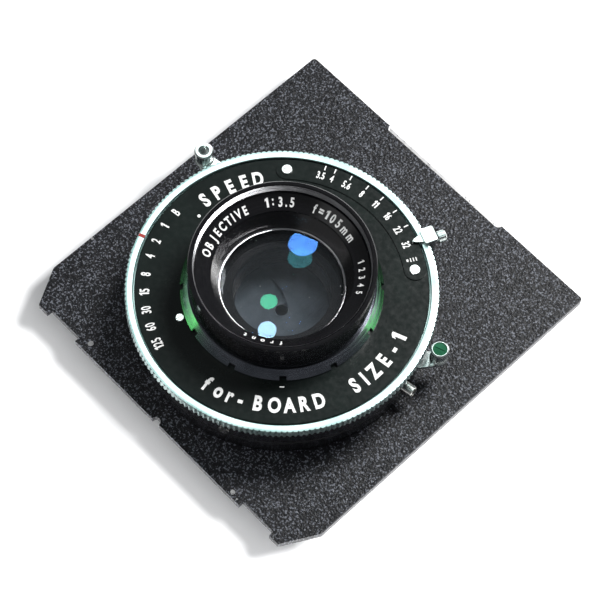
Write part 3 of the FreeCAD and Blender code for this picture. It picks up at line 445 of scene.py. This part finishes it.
def upright(angle, radius, z, flip=False, tilt=0.0):
    """Where a character stands on a ring: its top points outwards, or inwards if flipped."""
    out = polar(1.0, angle)
    up = -out if flip else out
    right = up.cross(Vector((0, 0, 1)))
    normal = Vector((0, 0, 1))
    place = Matrix((right, up, normal)).transposed().to_4x4()
    if tilt:
        place = Matrix.Rotation(tilt, 4, right) @ place
    return Matrix.Translation(polar(radius, angle, z)) @ place


def glyph_mesh(character, weight):
    """The outline of a character as a thin solid, with the face's own size of one."""
    if character == "1":
        bits = bmesh.new()
        w = 1.6 * weight
        figure = [(-w, 0), (0.13 + w, 0), (0.13 + w, CAP_HEIGHT), (0.02, CAP_HEIGHT),
                  (-0.14 - w, 0.62), (-0.14 - w, 0.5 - w), (-w, 0.56)]
        prism(bits, figure, Matrix.Translation((0, 0, -0.01)), 0.02)
        mesh = bpy.data.meshes.new("glyph")
        bits.to_mesh(mesh)
        bits.free()
        return mesh
    curve = bpy.data.curves.new("glyph", "FONT")
    curve.body = character
    curve.offset = weight
    curve.extrude = 0.01
    curve.resolution_u = 5
    holder = bpy.data.objects.new("glyph", curve)
    scene.collection.objects.link(holder)
    bpy.context.view_layer.update()
    mesh = bpy.data.meshes.new_from_object(holder.evaluated_get(bpy.context.evaluated_depsgraph_get()))
    bpy.data.objects.remove(holder)
    bpy.data.curves.remove(curve)
    return mesh


def word_points(text, weight):
    """A bmesh of a run of characters set close together, from x = 0."""
    run = bmesh.new()
    pen = 0.0
    for character in text:
        mesh = glyph_mesh(character, weight)
        left = min(v.co.x for v in mesh.vertices)
        right = max(v.co.x for v in mesh.vertices)
        mesh.transform(Matrix.Translation((pen - left, 0, 0)))
        run.from_mesh(mesh)
        bpy.data.meshes.remove(mesh)
        pen += right - left + LETTER_GAP
    return run


def lettering(name, body, z_of, items, finish=WHITE_PAINT, extra=None, thick=0.05):
    """items: text, angle, radius of the middle, height, width factor, weight, flipped."""
    def make(bm):
        for text, angle, radius, high, squeeze, weight, flip in items:
            bits = word_points(text, weight)
            xs = [v.co.x for v in bits.verts]
            ys = [v.co.y for v in bits.verts]
            middle_x = (min(xs) + max(xs)) / 2
            middle_y = CAP_HEIGHT / 2 if max(ys) > 0.5 else (min(ys) + max(ys)) / 2
            if text in ("o", "r", "m", "n", "-", "=", "."):
                middle_y = CAP_HEIGHT / 2
            size = high / CAP_HEIGHT
            here = upright(angle, radius, z_of(radius), flip)
            for v in bits.verts:
                local = Vector(((v.co.x - middle_x) * size * squeeze, (v.co.y - middle_y) * size, 0.0))
                spot = here @ local
                lift = thick if v.co.z > 0 else -0.02
                spot.z = z_of(math.hypot(spot.x, spot.y)) + lift
                v.co = spot
            bits.to_mesh(scratch)
            bits.free()
            bm.from_mesh(scratch)
        if extra:
            extra(bm)
    scratch = bpy.data.meshes.new("scratch")
    return piece(name, make, finish, body)


def flat(z):
    return lambda radius: z


# ---------------------------------------------------------------- lettering and marks
ROOT = "shutter_and_board"
SPEED_MARKS = (("B", 188.2), ("1", 196.2), ("2", 204.2), ("4", 211.8), ("8", 220.4), ("15", 228.7),
               ("30", 237.1), ("60", 245.1), ("125", 253.3))
painted = []
painted.append(lettering("speed_figures", ROOT, flat(FACE_TOP),
          [(text, angle, SPEED_FIGURES_R, 2.35, 0.62, 0.022, False) for text, angle in SPEED_MARKS]))

SPEED_WORD = zip("SPEED", (174.9, 168.0, 161.2, 154.4, 147.8))
BOARD_WORD = (("f", 281.6), ("o", 287.9), ("r", 293.4), ("-", 298.3), ("B", 306.0), ("O", 313.2),
              ("A", 319.8), ("R", 326.4), ("D", 333.0), ("S", 350.4), ("I", 355.8), ("Z", 1.4),
              ("E", 8.4), ("-", 15.2), ("1", 21.6))


def faceplate_marks(bm):
    dot = [tuple(polar(0.42, 20 * k).xy) for k in range(18)]
    prism(bm, dot, Matrix.Translation(polar(28.1, 182.7, FACE_TOP - 0.02)), 0.08)
    dash = [(-0.55, -0.16), (0.55, -0.16), (0.55, 0.16), (-0.55, 0.16)]
    prism(bm, dash, upright(316.5, 26.0, FACE_TOP - 0.02), 0.07)


painted.append(lettering("faceplate_words", ROOT, flat(FACE_TOP),
          [(text, angle, WORDS_R, 3.75, 0.72, 0.040, False) for text, angle in SPEED_WORD]
          + [(text, angle, WORDS_R, 3.75, 0.74, 0.040, True) for text, angle in BOARD_WORD],
          extra=faceplate_marks))

APERTURES = (("3.5", 119.4), ("4", 114.3), ("5.6", 107.2), ("8", 99.3), ("11", 91.5), ("16", 83.7),
             ("22", 75.7), ("32", 67.8))
APERTURE_TICKS = (118.6, 114.3, 107.2, 99.3, 91.5, 83.7, 75.7, 67.8)


def aperture_marks(bm):
    tick = [(-0.15, -0.62), (0.15, -0.62), (0.15, 0.62), (-0.15, 0.62)]
    for angle in APERTURE_TICKS:
        prism(bm, tick, upright(angle, APERTURE_TICKS_R, SCALE_TOP - 0.02), 0.06)
    stroke = [(-0.11, -0.5), (0.11, -0.5), (0.11, 0.5), (-0.11, 0.5)]
    quarter = Matrix.Rotation(math.pi / 2, 4, "Z")
    for radius in (32.0, 32.7, 33.4):
        prism(bm, stroke, upright(60.2, radius, SCALE_TOP - 0.02) @ quarter, 0.06)
    block = [(-0.32, -0.24), (0.32, -0.24), (0.32, 0.24), (-0.32, 0.24)]
    prism(bm, block, upright(60.2, 31.2, SCALE_TOP - 0.02), 0.06)


painted.append(lettering("aperture_figures", ROOT, flat(SCALE_TOP),
          [(text, angle, APERTURE_FIGURES_R, 1.95, 0.62, 0.026, False) for text, angle in APERTURES],
          extra=aperture_marks))


def name_face(radius):
    """Height of the name ring's sloping face."""
    share = (radius - NAME_INNER[0]) / (NAME_OUTER[0] - NAME_INNER[0])
    return NAME_INNER[1] + share * (NAME_OUTER[1] - NAME_INNER[1])


NAME_WORD = zip("OBJECTIVE", (211.0, 204.6, 198.3, 192.4, 186.4, 180.3, 175.7, 170.9, 165.0))
NAME_RATIO = zip("1:3.5", (148.0, 143.5, 138.0, 133.7, 129.4))
NAME_FOCUS = zip("f=105mm", (111.9, 106.7, 101.6, 96.4, 90.6, 83.9, 76.3))
NAME_SERIAL = zip("12345", (55.1, 48.6, 42.4, 36.2, 30.1))
NAME_SIDE = zip("front", (315.5, 308.7, 301.9, 295.1, 288.4))
painted.append(lettering("name_ring_figures", ROOT, name_face,
          [(text, angle, 18.8, 1.95, 0.84, 0.030, False) for text, angle in NAME_WORD]
          + [(text, angle, 18.95, 2.0, 0.84, 0.030, False) for text, angle in NAME_RATIO]
          + [(text, angle, 18.85, 1.95, 0.84, 0.030, False) for text, angle in NAME_FOCUS]
          + [(text, angle, 18.9, 1.5, 0.8, 0.024, False) for text, angle in NAME_SERIAL]
          + [(text, angle, 18.55, 1.25, 1.1, 0.024, False) for text, angle in NAME_SIDE]))


def index_mark(bm):
    """Red line across the smooth pad of the speed ring."""
    outline = [(-0.42, -0.95), (0.42, -0.95), (0.42, 0.62), (-0.42, 0.62)]
    place = upright(204.4, 36.9, SPEED_RING_TOP - 0.04)
    prism(bm, outline, place, 0.08)


piece("index_line", index_mark, RED_PAINT, "speed_ring")


def thread_ridges(bm):
    """Crests of the filter thread inside the front rim."""
    crests = []
    for turn in range(4):
        height = 26.75 + 0.56 * turn
        crests += [(21.28, height), (21.04, height + 0.2), (21.04, height + 0.28), (21.28, height + 0.48)]
    lathe(bm, crests + [(21.31, 28.95), (21.31, 26.7)], 160)


ridges = piece("filter_thread_ridges", thread_ridges, THREAD_METAL, ROOT)


def film_shell(bm):
    """A thin shell that lies on the front glass."""
    low, high = [], []
    for k in range(49):
        radius = 0.02 + 14.95 * k / 48
        height = FRONT_VERTEX - FRONT_CURVE + math.sqrt(FRONT_CURVE ** 2 - radius ** 2)
        low.append((radius, height + 0.012))
        high.append((radius, height + 0.04))
    lathe(bm, low + high[::-1], 200)


film = piece("front_coating_film", film_shell, COATING, ROOT)


def hollow_film(vertex, curve, reach):
    """The coating on a hollow surface inside the lens, as a thin shell."""
    def make(bm):
        low, high = [], []
        for k in range(41):
            radius = 0.02 + (reach - 0.02) * k / 40
            height = vertex + curve - math.sqrt(curve ** 2 - radius ** 2)
            low.append((radius, height - 0.015))
            high.append((radius, height + 0.015))
        lathe(bm, low + high[::-1], 200)
    return make


blue_film = piece("second_surface_film", hollow_film(17.3, HOLLOW_CURVE, 14.85), INNER_FILM, ROOT)
teal_film = piece("third_surface_film", hollow_film(15.6, HOLLOW_CURVE, 14.6), INNER_FILM, ROOT)


def seat_blackening_and_shade(bm):
    """Black paint on the seat round the back of the front glass, made near-black and dull so it is also
    painted shade for the inside of the barrel.
    """
    lathe(bm, [(12.02, 15.02), (15.6, 15.02), (15.6, 15.08), (12.02, 15.08)], 128)
    lathe(bm, [(11.9, 13.45), (12.0, 13.45), (12.0, 15.0), (11.9, 15.0)], 128)


piece("seat_blackening_and_shade", seat_blackening_and_shade, BLACKENING_AND_SHADE, ROOT)


def bead(bm):
    """Rounded lip of the ring that holds the front glass."""
    profile = []
    for k in range(12):
        turn = math.pi * k / 11
        profile.append((LIP_R - LIP_HALF * math.cos(turn), LIP_Z + LIP_HALF * math.sin(turn)))
    lathe(bm, profile, 160)


lip = piece("glass_retaining_lip", bead, BEZEL, ROOT)
for thing in (film, blue_film, teal_film, lip):
    for polygon in thing.data.polygons:
        polygon.use_smooth = True


def painted_highlight_strokes(bm):
    """Painted highlights: a row of small bright strokes on the housing's wall, under the speed ring, standing
    in for glints of light there.
    """
    for k in range(15):
        angle = 262.0 + 1.9 * k + random.uniform(-0.3, 0.3)
        out = polar(1.0, angle)
        right = out.cross(Vector((0, 0, 1)))
        place = Matrix((right, Vector((0, 0, 1)), out)).transposed().to_4x4()
        place = Matrix.Translation(polar(HOUSING_WALL_R, angle, 11.6)) @ place
        wide, high = random.uniform(0.16, 0.36), random.uniform(0.2, 0.55)
        prism(bm, [(-wide, -high), (wide, -high), (wide, high), (-wide, high)], place, 0.06)


# Painted highlight strokes, not marks on the housing itself.
piece("painted_highlight_strokes", painted_highlight_strokes, HIGHLIGHT_STROKE_METAL, ROOT)

# ---------------------------------------------------------------- table and light
floor_mesh = bpy.data.meshes.new("table")
bm = bmesh.new()
bmesh.ops.create_grid(bm, x_segments=24, y_segments=24, size=3.0)
bmesh.ops.translate(bm, verts=bm.verts, vec=(0, 0, FLOOR_Z * MM))
bm.to_mesh(floor_mesh)
bm.free()
floor_mesh.materials.append(tabletop())
table = bpy.data.objects.new("table", floor_mesh)
scene.collection.objects.link(table)

world = bpy.data.worlds.new("studio")
scene.world = world
world.use_nodes = True
nodes, links = world.node_tree.nodes, world.node_tree.links
background = nodes["Background"]
direction = nodes.new("ShaderNodeTexCoord").outputs["Generated"]


def lobe(towards, start, end):
    """1 in one direction, falling to 0 away from it."""
    dot = nodes.new("ShaderNodeVectorMath")
    dot.operation = "DOT_PRODUCT"
    links.new(direction, dot.inputs[0])
    dot.inputs[1].default_value = towards
    spread = nodes.new("ShaderNodeMapRange")
    spread.interpolation_type = "SMOOTHSTEP"
    links.new(dot.outputs["Value"], spread.inputs[0])
    spread.inputs[1].default_value = start
    spread.inputs[2].default_value = end
    return spread.outputs[0]


def heading(azimuth, elevation):
    a, e = math.radians(azimuth), math.radians(elevation)
    return Vector((math.cos(e) * math.cos(a), math.cos(e) * math.sin(a), math.sin(e)))


shade = nodes.new("ShaderNodeMix")
shade.data_type = "RGBA"
links.new(lobe(heading(135, 50), -0.2, 0.9), shade.inputs[0])
shade.inputs[6].default_value = (0.15, 0.155, 0.16, 1)
shade.inputs[7].default_value = (0.12, 0.125, 0.13, 1)
links.new(shade.outputs[2], background.inputs[0])
background.inputs[1].default_value = 1.0


def lamp(name, azimuth, elevation, distance, size, radiance, colour=(1, 1, 1), aim=(0, 0, 12), shape="DISK",
         size_y=None):
    """An area light that faces a point on the object. Radiance is what a mirror would show."""
    data = bpy.data.lights.new(name, "AREA")
    data.shape = shape
    data.size = size
    area = math.pi / 4 * size * size
    if size_y:
        data.size_y = size_y
        area = size * size_y
    data.energy = 4.0 * radiance * area
    data.color = colour
    thing = bpy.data.objects.new(name, data)
    target = Vector(aim) * MM
    towards = heading(azimuth, elevation)
    thing.location = target + towards * distance
    thing.rotation_euler = towards.to_track_quat("Z", "Y").to_euler()
    thing.visible_camera = False
    scene.collection.objects.link(thing)
    return thing


def only_on(light, *things):
    """The light reaches only these things."""
    group = bpy.data.collections.new(light.name + "_receivers")
    for thing in things:
        group.objects.link(frame["nodes"].get(thing) if isinstance(thing, str) else thing)
    light.light_linking.receiver_collection = group


def not_on(light, *things):
    """The light reaches everything but these things."""
    group = bpy.data.collections.new(light.name + "_spared")
    for thing in things:
        group.objects.link(frame["nodes"].get(thing) if isinstance(thing, str) else thing)
    for entry in group.collection_objects:
        entry.light_linking.link_state = "EXCLUDE"
    light.light_linking.receiver_collection = group


CLEAR_PARTS = ("front_element", "second_element", "rear_flint_element", "rear_crown_element", film, blue_film,
               teal_film)
METAL_PARTS = [node for node, slot in slots.items() if slot in ("chrome", "nickel", "screw_steel")]
not_on(lamp("key", *KEY, 1.0, 0.42, 22.0), *CLEAR_PARTS, table, "lens_board")
only_on(lamp("board_key", *KEY, 1.0, 0.42, 9.5), "lens_board")
not_on(lamp("fill", 235, 62, 1.2, 0.9, 0.4), *CLEAR_PARTS, table, "lock_ring")
only_on(lamp("metal_light", 135, 62, 1.0, 0.26, 1.4, shape="RECTANGLE", size_y=0.95), *METAL_PARTS)
only_on(lamp("metal_fill", 135, 60, 1.0, 1.6, 0.9, (0.72, 1.0, 0.97)), *METAL_PARTS)
only_on(lamp("paint_light", 60, 75, 1.0, 0.6, 4.0), *painted)
IRIS_PARTS = [node for node in frame["nodes"] if node.startswith("iris_blade")]
only_on(lamp("iris_light", 150, 68, 1.0, 0.3, 3.2), *IRIS_PARTS)
only_on(lamp("table_light", 35, 62, 1.0, 0.28, 62.0), table)
only_on(lamp("table_fill", 330, 55, 1.0, 1.2, 2.0), table)

for name, azimuth in (("green_left", 208.7), ("green_right", 63.0)):
    panel = lamp(name, azimuth, 10, 0.5, 0.44, 11.0, (0.16, 1.0, 0.18), (0, 0, 18), "RECTANGLE", 0.17)
    only_on(panel, "lock_ring")

side_light = lamp("side_light", 16, 19, 0.6, 0.9, 24.0, (1, 1, 1), (-15, 0, 17), "RECTANGLE", 0.25)
only_on(side_light, lip, ridges)
low_light = lamp("low_light", 117, 14, 0.6, 0.4, 14.0, (1, 1, 1), (4, -15, 17), "RECTANGLE", 0.25)
only_on(low_light, lip)

GLASS_SPOTS = {
    "spot_blue": (blue_film, (-4.8, 11.5, 18.0), 148.5, 73.1, 2.45, (2.0, 6.2, 18.0)),
    "spot_teal": (teal_film, (-3.2, 9.0, 16.0), 145.3, 70.8, 2.05, (0.35, 2.0, 2.2)),
    "spot_green": (film, (1.6, -5.8, 19.9), 154.5, 72.7, 3.9, (0.8, 7.5, 3.8)),
    "spot_pale": (film, (6.4, -11.0, 18.9), 204.2, 83.2, 4.4, (7.5, 12.0, 15.5)),
}
for name, (mirror, point, azimuth, elevation, half, radiance) in GLASS_SPOTS.items():
    strongest = max(radiance)
    colour = tuple(value / strongest for value in radiance)
    width = 2 * 0.6 * math.tan(math.radians(half))
    disc = lamp(name, azimuth, elevation, 0.6, width, strongest, colour, point)
    only_on(disc, mirror)
